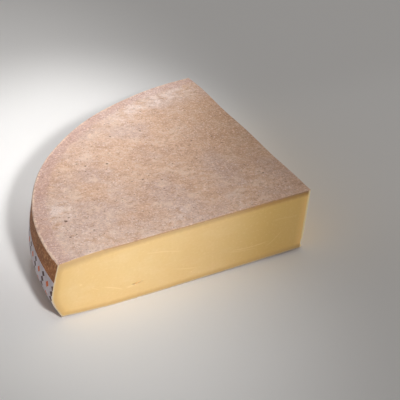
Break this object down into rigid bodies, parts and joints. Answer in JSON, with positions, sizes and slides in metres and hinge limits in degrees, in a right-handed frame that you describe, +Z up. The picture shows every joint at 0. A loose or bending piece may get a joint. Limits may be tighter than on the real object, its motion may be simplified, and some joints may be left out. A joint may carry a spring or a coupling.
{
  "type": "comte cheese",
  "caption": "Quarter of a large pressed hard cheese lying flat, with a rough rind, a smooth pale cut face and a printed band round its rim.",
  "frame": {"origin": "middle of the base, on the surface that the piece lies on", "axes": "+Z up; the front cut faces -Y, the side cut faces +X, and the round rim runs from -X round to +Y"},
  "size_m": [0.3866, 0.3692, 0.088],
  "materials": {
    "cheese": "dull rind, waxy cut face",
    "band": "matt printed paper"
  },
  "bodies": {
    "root": {"cheese_quarter": "cheese", "rim_band": "band"}
  },
  "joints": []
}
